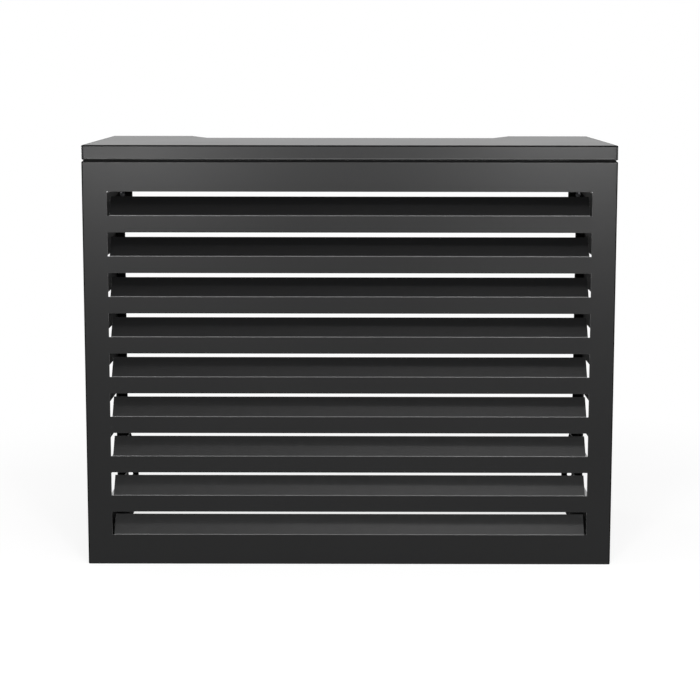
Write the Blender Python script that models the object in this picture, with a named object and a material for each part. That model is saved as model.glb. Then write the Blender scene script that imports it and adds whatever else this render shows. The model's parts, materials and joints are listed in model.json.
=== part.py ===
"""Louvred sheet-steel screen that stands round an outdoor air conditioner unit.

A front panel and two side panels, each with a column of louvres cut and bent out of its own sheet,
are bolted together along the front corners. The rear flanges carry ears for the wall. The lid, with
a cut-out along its rear edge, rests on rubber strips over a narrow shadow gap and lifts off upwards.
Metres, +Z up. The origin is on the ground under the middle of the screen, and the front faces -Y.
"""

import math

import bmesh
import bpy
from mathutils import Matrix, Vector

# Overall size of the screen
screen_width = 1.000
screen_depth = 0.500
screen_height = 0.800

# Sheet steel, its bends and its fits
sheet_thickness = 0.0015
bend_radius = 0.0025
corner_relief = 0.0010
seat_gap = 0.0003
hole_clearance = 0.0003
cut_overrun = 0.004
weld_distance = 0.00001
bend_steps = 3

# Lid
lid_lip_height = 0.027
shadow_gap = 0.003
lid_return_width = 0.025
lid_corner_radius = 0.004
lid_travel_hole_clearance = 0.0006
recess_depth = 0.110
recess_rear_width = 0.667
recess_front_width = 0.587
corner_steps = 3

# Louvres, the same on all three panels, in as many rows as the height has room for
louvre_pitch = 0.07635
louvre_height = 0.045
louvre_kerf = 0.0003
louvre_lean = math.radians(40)
louvre_end_notch = 0.0038
louvre_top_margin = 0.0564
louvre_bottom_margin = 0.0475
louvre_bend_steps = 2

# Front panel
front_slot_margin = 0.0465
front_return_depth = 0.030
front_inner_flange = 0.020
front_top_flange = 0.025
front_bottom_flange = 0.025

# Side panels
side_slot_margin = 0.037
side_front_flange = 0.020
side_rear_flange = 0.0205
side_top_flange = 0.030
side_bottom_flange = 0.038

# Lower wall ears, where the side panels' rear flanges widen
ear_reach = 0.0417
ear_foot_height = 0.012
ear_rise = 0.021
ear_flat_height = 0.067
ear_taper_height = 0.084
ear_hole_inset = 0.0244
ear_hole_height = 0.0715
wall_hole_radius = 0.00475

# Floor fixing holes in the side panels' bottom flanges
floor_hole_radius = 0.003
floor_hole_inset = 0.0325
floor_hole_end_margin = 0.0743

# Upper wall brackets
bracket_thickness = 0.002
bracket_reach = 0.0375
bracket_side_gap = 0.0045
bracket_leg_drop = 0.115
bracket_foot_length = 0.062
bracket_nut_inset = 0.0165
bracket_nut_drop = 0.0925
bracket_wall_hole_inset = 0.0285
bracket_wall_hole_drop = 0.050

# Bolts and nuts
thread_radius = 0.003
hex_flats = 0.010
bolt_head_height = 0.004
bolt_length = 0.014
nut_height = 0.005
bolts_per_side = 4
bolt_inset = 0.0115
bolt_end_margin = 0.045
edge_break = 0.0005

# Clinched studs that hold the wall brackets
stud_head_radius = 0.0045
stud_head_thickness = 0.0008
stud_length = 0.0125

# Rubber strips that carry the lid
strip_setback = 0.003
strip_width = 0.006

# Locating pins between the body and the lid
pin_inset = 0.015
pin_end_margin = 0.030
pin_collar_radius = 0.005
pin_collar_height = 0.0012
pin_height = 0.014
pin_taper_height = 0.004
pin_tip_radius = 0.0018
pin_tail_length = 0.010

# Places that follow from the sizes above
body_height = screen_height - lid_lip_height - shadow_gap
side_x = screen_width / 2
front_y = -screen_depth / 2
rear_y = screen_depth / 2
seam_y = front_y + front_return_depth
side_front_y = seam_y + seat_gap
side_length = rear_y - side_front_y
lid_floor_z = body_height + shadow_gap
hex_corner_radius = hex_flats / 2 / math.cos(math.pi / 6)
pin_x = side_x - pin_inset
bolt_x = side_x - bolt_inset
louvre_room = body_height - louvre_top_margin - louvre_bottom_margin - louvre_height
louvre_count = math.floor(louvre_room / louvre_pitch) + 1

# Finishes: colour, roughness, metallic
coat_finish = ((0.042, 0.043, 0.045, 1.0), 0.42, 0.0)
fastener_finish = ((0.16, 0.16, 0.17, 1.0), 0.38, 1.0)
rubber_finish = ((0.018, 0.018, 0.018, 1.0), 0.75, 0.0)
smooth_angle = math.radians(40)
ring_points = 12


def paint(piece, finish):
    """Give a piece its own material."""
    colour, roughness, metallic = finish
    material = bpy.data.materials.new(piece.name + "_finish")
    material.use_nodes = True
    shader = material.node_tree.nodes["Principled BSDF"]
    shader.inputs["Base Color"].default_value = colour
    shader.inputs["Roughness"].default_value = roughness
    shader.inputs["Metallic"].default_value = metallic
    material.diffuse_color = colour
    piece.data.materials.append(material)


def place(piece, parent, location, rotation=(0, 0, 0)):
    """Put a piece in the scene under the empty that carries it."""
    bpy.context.scene.collection.objects.link(piece)
    piece.location = Vector(location) - parent.location
    piece.rotation_euler = rotation
    piece.parent = parent


def carrier(name, location):
    """Add an empty that carries pieces which belong to one body."""
    empty = bpy.data.objects.new(name, None)
    bpy.context.scene.collection.objects.link(empty)
    empty.location = location
    return empty


def smooth_mesh(shape, name):
    """Turn a bmesh into a mesh with smooth bends and crisp edges."""
    mesh = bpy.data.meshes.new(name)
    shape.to_mesh(mesh)
    shape.free()
    mesh.shade_smooth()
    mesh.set_sharp_from_angle(angle=smooth_angle)
    return mesh


def sheet_piece(name, patches, outward, thickness):
    """Weld patches of corner points into one surface and thicken it towards its back."""
    surface = bmesh.new()
    for patch in patches:
        surface.faces.new([surface.verts.new(point) for point in patch])
    bmesh.ops.remove_doubles(surface, verts=surface.verts, dist=weld_distance)
    bmesh.ops.recalc_face_normals(surface, faces=surface.faces)
    largest = max(surface.faces, key=lambda face: face.calc_area())
    if largest.normal.dot(outward) < 0:
        bmesh.ops.reverse_faces(surface, faces=surface.faces)
    piece = bpy.data.objects.new(name, smooth_mesh(surface, name))
    solidify = piece.modifiers.new("thickness", "SOLIDIFY")
    solidify.thickness = thickness
    solidify.offset = -1
    solidify.use_even_offset = True
    solidify.use_quality_normals = True
    return piece


def drill(piece, holes):
    """Cut round holes, each given as centre, axis, radius and depth, in world coordinates."""
    bits = bmesh.new()
    for centre, axis, radius, depth in holes:
        turn = Vector((0, 0, 1)).rotation_difference(Vector(axis)).to_matrix().to_4x4()
        bmesh.ops.create_cone(
            bits,
            cap_ends=True,
            segments=ring_points,
            radius1=radius,
            radius2=radius,
            depth=depth,
            matrix=Matrix.Translation(centre) @ turn,
        )
    cutter = bpy.data.objects.new(piece.name + "_drill", smooth_mesh(bits, piece.name + "_drill"))
    bpy.context.scene.collection.objects.link(cutter)
    cutter.hide_render = True
    cutter.display_type = "WIRE"
    boolean = piece.modifiers.new("holes", "BOOLEAN")
    boolean.operation = "DIFFERENCE"
    boolean.solver = "EXACT"
    boolean.object = cutter


def single_flange(depth):
    """Flange profile as (inset from the panel's edge, depth behind its face)."""
    profile = []
    for step in range(bend_steps + 1):
        angle = math.pi / 2 * step / bend_steps
        profile.append((bend_radius * (1 - math.sin(angle)), bend_radius * (1 - math.cos(angle))))
    profile.append((0, depth))
    return profile


def double_flange(depth, reach):
    """Flange profile that turns back and then in again, parallel to the panel's face."""
    profile = single_flange(depth - bend_radius)
    for step in range(1, bend_steps + 1):
        angle = math.pi / 2 * step / bend_steps
        inset = bend_radius * (1 - math.cos(angle))
        profile.append((inset, depth - bend_radius + bend_radius * math.sin(angle)))
    profile.append((reach, depth))
    return profile


def same_all_along(profile):
    """Profile function of a flange that doesn't change along its edge."""
    return lambda along: profile


def ear_depth(height):
    """Depth of a rear flange at a height: wider over the ear, with slanted ends."""
    full_from = ear_foot_height + ear_rise
    full_to = full_from + ear_flat_height
    widening = ear_reach - side_rear_flange
    if height < full_from:
        share = (height - ear_foot_height) / ear_rise
    else:
        share = 1 - (height - full_to) / ear_taper_height
    return side_rear_flange + widening * min(max(share, 0), 1)


def rear_flange(height):
    """Profile of a side panel's rear flange at a height."""
    return single_flange(ear_depth(height))


def ear_lines():
    """Heights at which the outline of an ear turns."""
    full_from = ear_foot_height + ear_rise
    full_to = full_from + ear_flat_height
    return [ear_foot_height, full_from, full_to, full_to + ear_taper_height]


def louvre_sills():
    """Height of the lower edge of each louvre slot, from the top slot down."""
    first = body_height - louvre_top_margin - louvre_height
    return [first - louvre_pitch * number for number in range(louvre_count)]


def edge_point(edge, along, inset, depth, width):
    """Point of a flange in a panel's own axes: X along it, Y behind its face, Z up."""
    if edge == "left":
        return (inset - width / 2, depth, along)
    if edge == "right":
        return (width / 2 - inset, depth, along)
    if edge == "bottom":
        return (along, depth, inset)
    return (along, depth, body_height - inset)


def flange_patches(edge, lines, profile_at, width):
    """Strips of a flange between neighbouring lines across it."""
    patches = []
    for low, high in zip(lines, lines[1:]):
        near = [edge_point(edge, low, inset, depth, width) for inset, depth in profile_at(low)]
        far = [edge_point(edge, high, inset, depth, width) for inset, depth in profile_at(high)]
        for step in range(len(near) - 1):
            patches.append((near[step], near[step + 1], far[step + 1], far[step]))
    return patches


def louvre_patches(left, right, sill):
    """One louvre blade: a bend along the sill, then a flat blade that leans back and up."""
    stations = []
    for step in range(louvre_bend_steps + 1):
        angle = louvre_lean * step / louvre_bend_steps
        stations.append((bend_radius * (1 - math.cos(angle)), bend_radius * math.sin(angle)))
    depth, rise = stations[-1]
    run = louvre_height - louvre_kerf - bend_radius * louvre_lean
    stations.append((depth + run * math.sin(louvre_lean), rise + run * math.cos(louvre_lean)))
    patches = []
    for (near, low), (far, high) in zip(stations, stations[1:]):
        foot = ((left, near, sill + low), (right, near, sill + low))
        patches.append((*foot, (right, far, sill + high), (left, far, sill + high)))
    return patches


def louvred_panel(name, width, slot_margin, flanges, extra_lines=()):
    """A flat panel with its louvres and a flange on each edge, as one bent sheet."""
    left = slot_margin - width / 2
    right = width / 2 - slot_margin
    blade_left = left + louvre_end_notch
    blade_right = right - louvre_end_notch
    flat_end = width / 2 - bend_radius
    flange_end = flat_end - corner_relief
    across = [-flat_end, -flange_end, left, blade_left, blade_right, right, flange_end, flat_end]
    flange_low = bend_radius + corner_relief
    flange_high = body_height - flange_low
    sills = louvre_sills()
    up = {bend_radius, flange_low, flange_high, body_height - bend_radius}
    up.update(sills)
    up.update(sill + louvre_height for sill in sills)
    up.update(extra_lines)
    up = sorted(up)
    patches = []
    for x_low, x_high in zip(across, across[1:]):
        for z_low, z_high in zip(up, up[1:]):
            middle = (z_low + z_high) / 2
            in_row = any(sill < middle < sill + louvre_height for sill in sills)
            if in_row and left <= x_low < right:
                continue
            foot = ((x_low, 0, z_low), (x_high, 0, z_low))
            patches.append((*foot, (x_high, 0, z_high), (x_low, 0, z_high)))
    for sill in sills:
        patches += louvre_patches(blade_left, blade_right, sill)
    side_lines = [z for z in up if flange_low <= z <= flange_high]
    cross_lines = across[1:-1]
    for edge, profile_at in flanges.items():
        lines = side_lines if edge in ("left", "right") else cross_lines
        patches += flange_patches(edge, lines, profile_at, width)
    return sheet_piece(name, patches, Vector((0, -1, 0)), sheet_thickness)


def bolt_places():
    """Places of the bolts along both front corners, on the seam between the panels."""
    step = (body_height - 2 * bolt_end_margin) / (bolts_per_side - 1)
    for side, label in ((-1, "left"), (1, "right")):
        for number in range(bolts_per_side):
            yield f"{label}_{number + 1}", (side * bolt_x, seam_y, bolt_end_margin + step * number)


def pin_places():
    """Places of the four pins that locate the lid, on the side panels' top flanges."""
    for side, label in ((-1, "left"), (1, "right")):
        yield f"front_{label}", (side * pin_x, side_front_y + pin_end_margin, body_height)
        yield f"rear_{label}", (side * pin_x, rear_y - pin_end_margin, body_height)


def bracket_nut_place(side):
    """Place of the nut that holds an upper wall bracket, on the outer face of the rear flange."""
    return (side * (side_x - bracket_nut_inset), rear_y, body_height - bracket_nut_drop)


def hole_depth(thickness):
    """Depth of a drill that passes both faces of a sheet."""
    return thickness + 2 * cut_overrun


def front_panel(parent):
    """Front panel, with returns along the corners that turn in behind it."""
    corner = same_all_along(double_flange(front_return_depth, front_inner_flange))
    flanges = {
        "left": corner,
        "right": corner,
        "bottom": same_all_along(single_flange(front_bottom_flange)),
        "top": same_all_along(single_flange(front_top_flange)),
    }
    panel = louvred_panel("front_panel", screen_width, front_slot_margin, flanges)
    place(panel, parent, (0, front_y, 0))
    paint(panel, coat_finish)
    through = hole_depth(sheet_thickness)
    bolt_hole = thread_radius + hole_clearance
    drill(panel, [(centre, (0, 1, 0), bolt_hole, through) for _, centre in bolt_places()])


def side_panel(parent, side, label):
    """Side panel, with an ear for the wall at the foot of its rear flange."""
    front_flange = same_all_along(single_flange(side_front_flange))
    flanges = {
        "left": front_flange if side > 0 else rear_flange,
        "right": rear_flange if side > 0 else front_flange,
        "bottom": same_all_along(single_flange(side_bottom_flange)),
        "top": same_all_along(single_flange(side_top_flange)),
    }
    panel = louvred_panel(f"{label}_panel", side_length, side_slot_margin, flanges, ear_lines())
    middle_y = side_front_y + side_length / 2
    place(panel, parent, (side * side_x, middle_y, 0), (0, 0, side * math.pi / 2))
    paint(panel, coat_finish)
    through = hole_depth(sheet_thickness)
    bolt_hole = thread_radius + hole_clearance
    stud_hole = stud_head_radius + hole_clearance
    holes = []
    for name, centre in bolt_places():
        if name.startswith(label):
            holes.append((centre, (0, 1, 0), bolt_hole, through))
    for name, centre in pin_places():
        if name.endswith(label):
            holes.append((centre, (0, 0, 1), bolt_hole, through))
    floor_x = side * (side_x - floor_hole_inset)
    for floor_y in (side_front_y + floor_hole_end_margin, rear_y - floor_hole_end_margin):
        holes.append(((floor_x, floor_y, 0), (0, 0, 1), floor_hole_radius, through))
    ear_hole = (side * (side_x - ear_hole_inset), rear_y, ear_hole_height)
    holes.append((ear_hole, (0, 1, 0), wall_hole_radius, through))
    stud = bracket_nut_place(side)
    holes.append((stud, (0, 1, 0), bolt_hole, through))
    drill(panel, holes)
    pocket_depth = stud_head_thickness + seat_gap
    drill(panel, [(stud, (0, 1, 0), stud_hole, 2 * pocket_depth)])


def rounded_outline(corners, inset, radius, extra):
    """Outline of the lid drawn in by an inset, with round corners and extra points on its edges.

    extra maps an edge's number to distances from that edge's ends."""
    count = len(corners)
    directions = []
    for number in range(count):
        directions.append((corners[(number + 1) % count] - corners[number]).normalized())
    arcs = []
    for number, corner in enumerate(corners):
        before = directions[number - 1]
        after = directions[number]
        turn = math.atan2(before.cross(after), before.dot(after))
        way = 1 if turn > 0 else -1
        setback = radius * math.tan(abs(turn) / 2)
        inward = Vector((-before.y, before.x))
        centre = corner - before * setback + inward * radius * way
        reach = radius - inset * way
        points = []
        for step in range(corner_steps + 1):
            spin = Matrix.Rotation(turn * step / corner_steps, 2)
            points.append(centre + spin @ (-inward * way) * reach)
        arcs.append(points)
    outline = []
    for number in range(count):
        outline += arcs[number]
        start = corners[number] + Vector((-directions[number].y, directions[number].x)) * inset
        length = (corners[(number + 1) % count] - corners[number]).length
        for distance in extra.get(number, ()):
            along = distance if distance > 0 else length + distance
            outline.append(start + directions[number] * along)
    return outline


def lid_corners():
    """Plan of the lid, anticlockwise from the front left corner."""
    rear = recess_rear_width / 2
    front = recess_front_width / 2
    recess_y = rear_y - recess_depth
    plan = [(-side_x, front_y), (side_x, front_y), (side_x, rear_y), (rear, rear_y)]
    plan += [(front, recess_y), (-front, recess_y), (-rear, rear_y), (-side_x, rear_y)]
    return [Vector(point) for point in plan]


def lid(parent):
    """Lid: a pan with a lip all round, a cut-out at the rear and returns under three edges."""
    corners = lid_corners()
    front_edge, right_edge, left_edge = 0, 1, len(corners) - 1
    slit_start = lid_corner_radius + corner_relief
    slit_end = slit_start + corner_relief
    stops = (slit_start, slit_end, -slit_end, -slit_start)
    extra = {front_edge: stops, right_edge: stops, left_edge: stops}
    levels = []
    for step in range(bend_steps + 1):
        angle = math.pi / 2 * step / bend_steps
        levels.append((bend_radius * (1 - math.sin(angle)), bend_radius * (math.cos(angle) - 1)))
    levels.append((0, bend_radius - lid_lip_height))
    rings = []
    for inset, height in levels:
        outline = rounded_outline(corners, inset, lid_corner_radius, extra)
        rings.append([Vector((point.x, point.y, lid_lip_height + height)) for point in outline])
    patches = [tuple(rings[0])]
    count = len(rings[0])
    for upper, lower in zip(rings, rings[1:]):
        for number in range(count):
            after = (number + 1) % count
            patches.append((upper[number], lower[number], lower[after], upper[after]))
    patches += lid_return_patches(corners, rings[-1], extra)
    piece = sheet_piece("lid", patches, Vector((0, 0, 1)), sheet_thickness)
    place(piece, parent, (0, 0, lid_floor_z))
    paint(piece, coat_finish)
    pin_hole = thread_radius + lid_travel_hole_clearance
    holes = []
    for _, (x, y, _) in pin_places():
        holes.append(((x, y, lid_floor_z), (0, 0, 1), pin_hole, hole_depth(sheet_thickness)))
    drill(piece, holes)


def lid_return_patches(corners, rim, extra):
    """Lower edge of the lid's lip: plain near the corners and the cut-out, turned in elsewhere."""
    patches = []
    corner_points = corner_steps + 1
    edge_starts = []
    index = 0
    for number in range(len(corners)):
        edge_starts.append(index + corner_steps)
        index += corner_points + len(extra.get(number, ()))
    turned = {edge_starts[number] + 2: number for number in extra}
    slits = {start - 1 for start in turned} | {start + 1 for start in turned}
    for index, point in enumerate(rim):
        after = rim[(index + 1) % len(rim)]
        if index in slits:
            continue
        if index not in turned:
            drop = Vector((0, 0, -bend_radius))
            patches.append((point, point + drop, after + drop, after))
            continue
        direction = (after - point).normalized()
        inward = Vector((-direction.y, direction.x, 0))
        profile = []
        for step in range(bend_steps + 1):
            angle = math.pi / 2 * step / bend_steps
            profile.append((bend_radius * (1 - math.cos(angle)), -bend_radius * math.sin(angle)))
        profile.append((lid_return_width, -bend_radius))
        for (inset, height), (next_inset, next_height) in zip(profile, profile[1:]):
            near = inward * inset + Vector((0, 0, height))
            far = inward * next_inset + Vector((0, 0, next_height))
            patches.append(
                (
                    point + near + direction * inset,
                    point + far + direction * next_inset,
                    after + far - direction * next_inset,
                    after + near - direction * inset,
                )
            )
    return patches


def wall_bracket(parent, side, label):
    """Upper bracket: an angle that ties the top flange to the rear flange and takes a wall screw."""
    outer = bracket_side_gap
    inner = bracket_reach
    profile = [(0, -bracket_leg_drop)]
    for step in range(bend_steps + 1):
        angle = math.pi / 2 * step / bend_steps
        profile.append((bend_radius * (1 - math.cos(angle)), bend_radius * (math.sin(angle) - 1)))
    profile.append((bracket_foot_length, 0))
    patches = []
    for (near, low), (far, high) in zip(profile, profile[1:]):
        patches.append(
            (
                (-side * outer, -near, low),
                (-side * inner, -near, low),
                (-side * inner, -far, high),
                (-side * outer, -far, high),
            )
        )
    piece = sheet_piece(f"wall_bracket_{label}", patches, Vector((0, 1, 0)), bracket_thickness)
    back_y = rear_y - sheet_thickness - seat_gap
    top_z = body_height - sheet_thickness - seat_gap
    place(piece, parent, (side * side_x, back_y, top_z))
    paint(piece, coat_finish)
    bolt_hole = thread_radius + hole_clearance
    through = hole_depth(bracket_thickness)
    stud_x, _, stud_z = bracket_nut_place(side)
    wall_x = side * (side_x - bracket_wall_hole_inset)
    wall_hole = (wall_x, back_y, body_height - bracket_wall_hole_drop)
    holes = [((stud_x, back_y, stud_z), (0, 1, 0), bolt_hole, through)]
    holes.append((wall_hole, (0, 1, 0), wall_hole_radius, through))
    holes.append(((side * pin_x, rear_y - pin_end_margin, top_z), (0, 0, 1), bolt_hole, through))
    drill(piece, holes)


def turned_piece(name, profile, closed=False):
    """Solid of rings about Z. A ring is (radius, height, shape); a radius of zero closes an end."""
    shape = bmesh.new()
    rings = []
    for radius, height, outline in profile:
        if radius == 0:
            rings.append([shape.verts.new((0, 0, height))])
            continue
        ring = []
        for step in range(ring_points):
            angle = 2 * math.pi * step / ring_points
            reach = radius
            if outline == "hex" and step % 2:
                reach = radius * math.cos(math.pi / 6)
            ring.append(shape.verts.new((reach * math.cos(angle), reach * math.sin(angle), height)))
        rings.append(ring)
    pairs = list(zip(rings, rings[1:]))
    if closed:
        pairs.append((rings[-1], rings[0]))
    for lower, upper in pairs:
        for step in range(ring_points):
            after = (step + 1) % ring_points
            if len(lower) == 1:
                shape.faces.new((lower[0], upper[step], upper[after]))
            elif len(upper) == 1:
                shape.faces.new((lower[step], lower[after], upper[0]))
            else:
                shape.faces.new((lower[step], lower[after], upper[after], upper[step]))
    bmesh.ops.recalc_face_normals(shape, faces=shape.faces)
    return bpy.data.objects.new(name, smooth_mesh(shape, name))


def hex_bolt(name):
    """Bolt with its head above its seat at zero and its shank below."""
    profile = [
        (0, -bolt_length, "round"),
        (thread_radius - edge_break, -bolt_length, "round"),
        (thread_radius, edge_break - bolt_length, "round"),
        (thread_radius, 0, "round"),
        (hex_corner_radius, 0, "hex"),
        (hex_corner_radius, bolt_head_height - edge_break, "hex"),
        (hex_corner_radius - 2 * edge_break, bolt_head_height, "hex"),
        (0, bolt_head_height, "round"),
    ]
    return turned_piece(name, profile)


def hex_nut(name):
    """Nut that stands on its seat at zero, with a plain bore."""
    bore = thread_radius + hole_clearance
    profile = [
        (bore, 0, "round"),
        (hex_corner_radius, 0, "hex"),
        (hex_corner_radius, nut_height - edge_break, "hex"),
        (hex_corner_radius - 2 * edge_break, nut_height, "hex"),
        (bore, nut_height, "round"),
    ]
    return turned_piece(name, profile, closed=True)


def panel_fasteners(parent):
    """Bolts and nuts that hold the front panel's returns to the side panels' front flanges."""
    for label, (x, y, z) in bolt_places():
        bolt = hex_bolt(f"panel_bolt_{label}")
        head_y = side_front_y + sheet_thickness + seat_gap
        place(bolt, parent, (x, head_y, z), (-math.pi / 2, 0, 0))
        paint(bolt, fastener_finish)
        nut = hex_nut(f"panel_nut_{label}")
        nut_y = y - sheet_thickness - seat_gap
        place(nut, parent, (x, nut_y, z), (math.pi / 2, 0, 0))
        paint(nut, fastener_finish)


def bracket_fasteners(parent, side, label):
    """Flush stud in the rear flange, and the nut that clamps the upper bracket on it."""
    x, y, z = bracket_nut_place(side)
    profile = [
        (0, 0, "round"),
        (stud_head_radius, 0, "round"),
        (stud_head_radius, stud_head_thickness, "round"),
        (thread_radius, stud_head_thickness, "round"),
        (thread_radius, stud_length - edge_break, "round"),
        (thread_radius - edge_break, stud_length, "round"),
        (0, stud_length, "round"),
    ]
    stud = turned_piece(f"bracket_stud_{label}", profile)
    place(stud, parent, (x, y, z), (math.pi / 2, 0, 0))
    paint(stud, fastener_finish)
    nut = hex_nut(f"bracket_nut_{label}")
    nut_y = y - sheet_thickness - bracket_thickness - 2 * seat_gap
    place(nut, parent, (x, nut_y, z), (math.pi / 2, 0, 0))
    paint(nut, fastener_finish)


def lid_pins(parent):
    """Collared pins that stand up through the lid's returns, with nuts under the top flanges."""
    for label, (x, y, z) in pin_places():
        profile = [
            (0, -pin_tail_length, "round"),
            (thread_radius - edge_break, -pin_tail_length, "round"),
            (thread_radius, edge_break - pin_tail_length, "round"),
            (thread_radius, seat_gap, "round"),
            (pin_collar_radius, seat_gap, "round"),
            (pin_collar_radius, pin_collar_height, "round"),
            (thread_radius, pin_collar_height, "round"),
            (thread_radius, pin_height - pin_taper_height, "round"),
            (pin_tip_radius, pin_height, "round"),
            (0, pin_height, "round"),
        ]
        pin = turned_piece(f"lid_pin_{label}", profile)
        place(pin, parent, (x, y, z))
        paint(pin, fastener_finish)
        nut = hex_nut(f"lid_pin_nut_{label}")
        drop = sheet_thickness + seat_gap
        if label.startswith("rear"):
            drop += bracket_thickness + seat_gap
        place(nut, parent, (x, y, z - drop), (math.pi, 0, 0))
        paint(nut, fastener_finish)


def lid_strips(parent):
    """Rubber strips on the top flanges, one along the front and one along each side."""
    bottom = body_height + seat_gap
    top = lid_floor_z - seat_gap
    front = front_y + strip_setback
    front_back = front + strip_width
    outer = side_x - strip_setback
    inner = outer - strip_width
    side_start = front_back + seat_gap
    side_end = rear_y - strip_setback
    spans = {
        "front": ((-outer, front, bottom), (outer, front_back, top)),
        "left": ((-outer, side_start, bottom), (-inner, side_end, top)),
        "right": ((inner, side_start, bottom), (outer, side_end, top)),
    }
    for label, (low, high) in spans.items():
        size = Vector(high) - Vector(low)
        shape = bmesh.new()
        bmesh.ops.create_cube(shape, size=1, matrix=Matrix.Diagonal(size.to_4d()))
        bmesh.ops.bevel(
            shape, geom=shape.edges[:], offset=edge_break, segments=1, affect="EDGES"
        )
        strip = bpy.data.objects.new(f"lid_strip_{label}", smooth_mesh(shape, f"lid_strip_{label}"))
        place(strip, parent, (Vector(low) + Vector(high)) / 2)
        paint(strip, rubber_finish)


def build_screen():
    """Remove what is in the scene and build every piece of the screen."""
    for existing in list(bpy.data.objects):
        bpy.data.objects.remove(existing, do_unlink=True)
    body = carrier("screen_body", (0, 0, 0))
    lid_lift = carrier("lid_lift", (0, 0, lid_floor_z))
    front_panel(body)
    for side, label in ((-1, "left"), (1, "right")):
        side_panel(body, side, label)
        wall_bracket(body, side, label)
        bracket_fasteners(body, side, label)
    panel_fasteners(body)
    lid_pins(body)
    lid_strips(body)
    lid(lid_lift)


build_screen()
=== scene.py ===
# %% [markdown]
# # A louvred cover for an outdoor unit
# The real object is taken here as four folded sheets of steel: a front panel and two side panels,
# each with nine louvres bent out of its own sheet, and a lid over a narrow shadow gap. All four carry
# one nearly black satin powder coat, so the whole look rests on three things: true bends, true gaps
# and the way such a coat takes the light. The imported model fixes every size. This lesson dresses it,
# piece by piece, without moving anything. The picture shows the outside from the front only, so what
# is said of the fasteners, the rubber and the rear corners is a maker's guess.

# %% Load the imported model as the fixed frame
import json
import math

import bmesh
import bpy
from mathutils import Matrix, Vector

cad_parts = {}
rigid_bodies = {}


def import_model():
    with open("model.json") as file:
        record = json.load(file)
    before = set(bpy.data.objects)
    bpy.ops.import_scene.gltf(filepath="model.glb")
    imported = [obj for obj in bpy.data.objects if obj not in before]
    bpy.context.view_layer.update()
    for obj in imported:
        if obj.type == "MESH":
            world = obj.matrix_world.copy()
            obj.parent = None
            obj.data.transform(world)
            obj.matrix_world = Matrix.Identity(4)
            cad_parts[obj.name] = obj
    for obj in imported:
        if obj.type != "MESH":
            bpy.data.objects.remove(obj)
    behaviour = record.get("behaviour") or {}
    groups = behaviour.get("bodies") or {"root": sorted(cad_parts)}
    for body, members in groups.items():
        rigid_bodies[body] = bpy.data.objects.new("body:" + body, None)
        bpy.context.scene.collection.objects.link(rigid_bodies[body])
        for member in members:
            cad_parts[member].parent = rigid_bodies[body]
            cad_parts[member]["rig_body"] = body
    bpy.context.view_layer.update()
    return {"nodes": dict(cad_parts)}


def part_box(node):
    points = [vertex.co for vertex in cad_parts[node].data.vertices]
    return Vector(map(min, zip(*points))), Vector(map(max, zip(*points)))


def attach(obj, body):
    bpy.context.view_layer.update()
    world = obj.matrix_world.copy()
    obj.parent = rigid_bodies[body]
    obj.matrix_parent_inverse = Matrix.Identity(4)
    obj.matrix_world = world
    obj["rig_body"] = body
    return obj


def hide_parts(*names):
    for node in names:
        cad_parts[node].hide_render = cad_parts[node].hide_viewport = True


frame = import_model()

# %% [markdown]
# ## Camera
# A camera has to stand where the photographer's stood, or no edge will line up. The corners of the
# front face and of the lid were measured in the picture, and the place, the turn and the focal
# length were solved from them together. The lens is kept as a focal length in pixels, because that
# is what such a solution gives, and is turned into millimetres here.

# %% Camera
IMAGE_SIDE_PX = 700
FOCAL_LENGTH_PX = 1930.1
SENSOR_WIDTH_MM = 36.0
CAMERA_PLACE = (0.0104, -3.8556, 0.9413)
CAMERA_TURN_DEGREES = (81.703, -0.059, 0.156)


def stand(name, data, place, turn=(0, 0, 0)):
    """Put new data in the scene as an object."""
    made = bpy.data.objects.new(name, data)
    bpy.context.scene.collection.objects.link(made)
    made.location = place
    made.rotation_euler = turn
    return made


lens = bpy.data.cameras.new("photo_view")
lens.sensor_width = SENSOR_WIDTH_MM
lens.lens = FOCAL_LENGTH_PX * SENSOR_WIDTH_MM / IMAGE_SIDE_PX
bpy.context.scene.camera = stand(
    "photo_view", lens, CAMERA_PLACE, [math.radians(angle) for angle in CAMERA_TURN_DEGREES]
)
bpy.context.scene.view_settings.view_transform = "Standard"
print("lens", round(lens.lens, 2), "mm")

# %% [markdown]
# ## Helpers for node trees and meshes
# Every finish below is a small tree of nodes. Adding a node, setting its sockets and wiring it takes
# three lines each time, so one helper does the first two and a second one does the wiring. A third
# one starts a finish of the cover itself, because all of those end in the same kind of shader.
# Shapes are drawn in bmesh, Blender's workbench for meshes, and the last helper takes a finished one
# off that bench.


# %% Helpers
def set_sockets(node, sockets):
    """Set the values of a node's sockets."""
    for name, value in sockets.items():
        node.inputs[name].default_value = value


def add_node(tree, kind, sockets=None, **settings):
    """Add a shader node, set its own settings, then the values of its sockets."""
    made = tree.nodes.new("ShaderNode" + kind)
    for name, value in settings.items():
        setattr(made, name, value)
    set_sockets(made, sockets or {})
    return made


def wire(tree, *pairs):
    """Link each (node, output) to its (node, input)."""
    for (source, output), (target, entry) in pairs:
        tree.links.new(source.outputs[output], target.inputs[entry])


def new_finish(name, sockets):
    """New material, its tree, its shader with some sockets set, and a node for the place on a piece."""
    made = bpy.data.materials.new(name)
    made.use_nodes = True
    shader = made.node_tree.nodes["Principled BSDF"]
    set_sockets(shader, sockets)
    return made, made.node_tree, shader, add_node(made.node_tree, "TexCoord")


def new_mesh(name, shape):
    """Turn a finished bmesh into a mesh."""
    mesh = bpy.data.meshes.new(name)
    shape.to_mesh(mesh)
    shape.free()
    return mesh


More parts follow.
